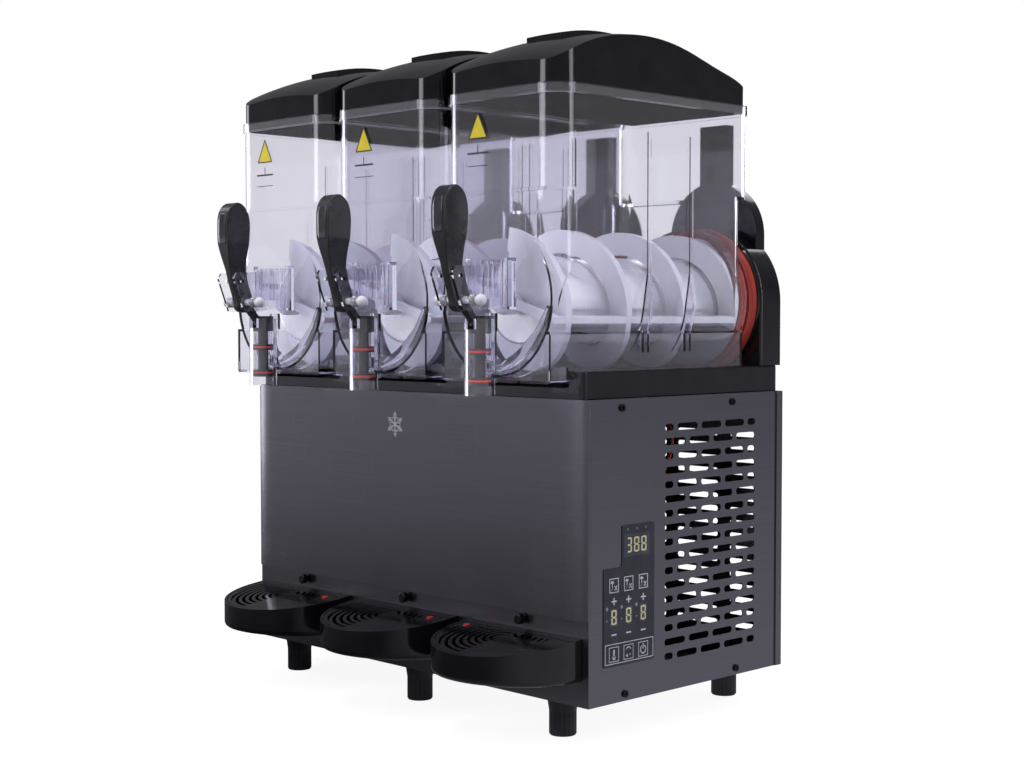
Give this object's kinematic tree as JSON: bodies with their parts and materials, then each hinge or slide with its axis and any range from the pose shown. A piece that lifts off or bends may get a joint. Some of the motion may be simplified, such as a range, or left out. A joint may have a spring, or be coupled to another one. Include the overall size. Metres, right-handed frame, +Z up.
{
  "type": "slushie machine",
  "caption": "Counter-top frozen drink dispenser with clear tanks, ribbon augers, lever taps, drip trays and a dark steel cabinet.",
  "frame": {"origin": "on the floor under the middle of the machine's bounding box", "axes": "+X to the machine's right, +Y to its back, +Z up"},
  "size_m": [0.6038, 0.4776, 0.7914],
  "materials": {
    "dark_steel": "dark brushed stainless sheet, horizontal grain",
    "black_plastic": "glossy black moulded plastic",
    "clear_plastic": "clear moulded polycarbonate",
    "white_plastic": "satin white food-grade plastic",
    "pin_plastic": "white moulded plastic",
    "stainless": "brushed stainless",
    "silicone": "orange-red silicone",
    "red_ring": "red rubber sealing ring",
    "handle_black": "satin black plastic",
    "piston_black": "black acetal",
    "spring_steel": "bright spring wire",
    "foot_rubber": "satin black rubber",
    "panel_film": "glossy dark membrane film",
    "black_fastener": "black coated steel",
    "float_red": "glossy red plastic",
    "compressor_black": "black enamel",
    "fin_aluminium": "mill finish fins",
    "galvanised": "galvanised sheet",
    "fan_black": "black moulded plastic",
    "motor_grey": "grey painted gear case",
    "foam_white": "white pipe foam",
    "wire_sleeve": "coloured wire insulation",
    "inlet_black": "black moulded inlet"
  },
  "bodies": {
    "cabinet": {"chassis_pan": "dark_steel", "left_panel": "dark_steel", "right_panel": "dark_steel", "rear_panel": "dark_steel", "front_cover": "dark_steel", "deck": "black_plastic", "rear_towers": "black_plastic", "feet": "foot_rubber", "control_panel": "panel_film", "fasteners": "black_fastener", "compressor": "compressor_black", "condenser": "fin_aluminium", "fan_shroud": "galvanised", "gear_motors": "motor_grey", "refrigerant_lines": "foam_white", "wiring": "wire_sleeve", "power_inlet": "inlet_black", "left_evaporator": "stainless", "left_gasket": "silicone", "middle_evaporator": "stainless", "middle_gasket": "silicone", "right_evaporator": "stainless", "right_gasket": "silicone"},
    "fan": {"fan": "fan_black"},
    "left_tank": {"left_tank": "clear_plastic", "left_tap_pin": "pin_plastic", "left_tap_spring": "spring_steel"},
    "left_lid": {"left_lid": "black_plastic"},
    "left_auger": {"left_auger": "white_plastic", "left_auger_shaft": "stainless"},
    "left_handle": {"left_tap_handle": "handle_black"},
    "left_piston": {"left_tap_piston": "piston_black", "left_piston_rings": "red_ring"},
    "left_tray": {"left_drip_tray": "black_plastic"},
    "left_grille": {"left_drip_grille": "black_plastic"},
    "left_float": {"left_tray_float": "float_red"},
    "middle_tank": {"middle_tank": "clear_plastic", "middle_tap_pin": "pin_plastic", "middle_tap_spring": "spring_steel"},
    "middle_lid": {"middle_lid": "black_plastic"},
    "middle_auger": {"middle_auger": "white_plastic", "middle_auger_shaft": "stainless"},
    "middle_handle": {"middle_tap_handle": "handle_black"},
    "middle_piston": {"middle_tap_piston": "piston_black", "middle_piston_rings": "red_ring"},
    "middle_tray": {"middle_drip_tray": "black_plastic"},
    "middle_grille": {"middle_drip_grille": "black_plastic"},
    "middle_float": {"middle_tray_float": "float_red"},
    "right_tank": {"right_tank": "clear_plastic", "right_tap_pin": "pin_plastic", "right_tap_spring": "spring_steel"},
    "right_lid": {"right_lid": "black_plastic"},
    "right_auger": {"right_auger": "white_plastic", "right_auger_shaft": "stainless"},
    "right_handle": {"right_tap_handle": "handle_black"},
    "right_piston": {"right_tap_piston": "piston_black", "right_piston_rings": "red_ring"},
    "right_tray": {"right_drip_tray": "black_plastic"},
    "right_grille": {"right_drip_grille": "black_plastic"},
    "right_float": {"right_tray_float": "float_red"}
  },
  "joints": [
    {"name": "fan_spin", "type": "hinge", "parent": "cabinet", "child": "fan", "pos_m": [-0.19, 0.0648, 0.195], "axis": [1, 0, 0], "continuous": true},
    {"name": "left_tank_slide", "type": "slide", "parent": "cabinet", "child": "left_tank", "axis": [0, -1, 0], "range_m": [0, 0.34]},
    {"name": "left_lid_lift", "type": "slide", "parent": "left_tank", "child": "left_lid", "axis": [0, 0, 1], "range_m": [0, 0.1]},
    {"name": "left_auger_turn", "type": "hinge", "parent": "cabinet", "child": "left_auger", "pos_m": [-0.2, -0.1102, 0.485], "axis": [0, 1, 0], "continuous": true},
    {"name": "left_handle_pull", "type": "hinge", "parent": "left_tank", "child": "left_handle", "pos_m": [-0.2, -0.2072, 0.484], "axis": [1, 0, 0], "range_deg": [0, 28], "stiffness_Nm_per_rad": 2, "springref_deg": -17.19},
    {"name": "left_piston_lift", "type": "slide", "parent": "left_tank", "child": "left_piston", "axis": [0, 0, 1], "range_m": [0, 0.014]},
    {"name": "left_tray_slide", "type": "slide", "parent": "cabinet", "child": "left_tray", "axis": [0, -1, 0], "range_m": [0, 0.12]},
    {"name": "left_grille_lift", "type": "slide", "parent": "left_tray", "child": "left_grille", "axis": [0, 0, 1], "range_m": [0, 0.06]},
    {"name": "left_float_rise", "type": "slide", "parent": "left_tray", "child": "left_float", "axis": [0, 0, 1], "range_m": [0, 0.006]},
    {"name": "middle_tank_slide", "type": "slide", "parent": "cabinet", "child": "middle_tank", "axis": [0, -1, 0], "range_m": [0, 0.34]},
    {"name": "middle_lid_lift", "type": "slide", "parent": "middle_tank", "child": "middle_lid", "axis": [0, 0, 1], "range_m": [0, 0.1]},
    {"name": "middle_auger_turn", "type": "hinge", "parent": "cabinet", "child": "middle_auger", "pos_m": [0, -0.1102, 0.485], "axis": [0, 1, 0], "continuous": true},
    {"name": "middle_handle_pull", "type": "hinge", "parent": "middle_tank", "child": "middle_handle", "pos_m": [0, -0.2072, 0.484], "axis": [1, 0, 0], "range_deg": [0, 28], "stiffness_Nm_per_rad": 2, "springref_deg": -17.19},
    {"name": "middle_piston_lift", "type": "slide", "parent": "middle_tank", "child": "middle_piston", "axis": [0, 0, 1], "range_m": [0, 0.014]},
    {"name": "middle_tray_slide", "type": "slide", "parent": "cabinet", "child": "middle_tray", "axis": [0, -1, 0], "range_m": [0, 0.12]},
    {"name": "middle_grille_lift", "type": "slide", "parent": "middle_tray", "child": "middle_grille", "axis": [0, 0, 1], "range_m": [0, 0.06]},
    {"name": "middle_float_rise", "type": "slide", "parent": "middle_tray", "child": "middle_float", "axis": [0, 0, 1], "range_m": [0, 0.006]},
    {"name": "right_tank_slide", "type": "slide", "parent": "cabinet", "child": "right_tank", "axis": [0, -1, 0], "range_m": [0, 0.34]},
    {"name": "right_lid_lift", "type": "slide", "parent": "right_tank", "child": "right_lid", "axis": [0, 0, 1], "range_m": [0, 0.1]},
    {"name": "right_auger_turn", "type": "hinge", "parent": "cabinet", "child": "right_auger", "pos_m": [0.2, -0.1102, 0.485], "axis": [0, 1, 0], "continuous": true},
    {"name": "right_handle_pull", "type": "hinge", "parent": "right_tank", "child": "right_handle", "pos_m": [0.2, -0.2072, 0.484], "axis": [1, 0, 0], "range_deg": [0, 28], "stiffness_Nm_per_rad": 2, "springref_deg": -17.19},
    {"name": "right_piston_lift", "type": "slide", "parent": "right_tank", "child": "right_piston", "axis": [0, 0, 1], "range_m": [0, 0.014]},
    {"name": "right_tray_slide", "type": "slide", "parent": "cabinet", "child": "right_tray", "axis": [0, -1, 0], "range_m": [0, 0.12]},
    {"name": "right_grille_lift", "type": "slide", "parent": "right_tray", "child": "right_grille", "axis": [0, 0, 1], "range_m": [0, 0.06]},
    {"name": "right_float_rise", "type": "slide", "parent": "right_tray", "child": "right_float", "axis": [0, 0, 1], "range_m": [0, 0.006]}
  ],
  "couplings": [
    {"joint": "left_piston_lift", "follows": "left_handle_pull", "m_per_rad": 0.028239},
    {"joint": "middle_piston_lift", "follows": "middle_handle_pull", "m_per_rad": 0.028239},
    {"joint": "right_piston_lift", "follows": "right_handle_pull", "m_per_rad": 0.028239}
  ]
}
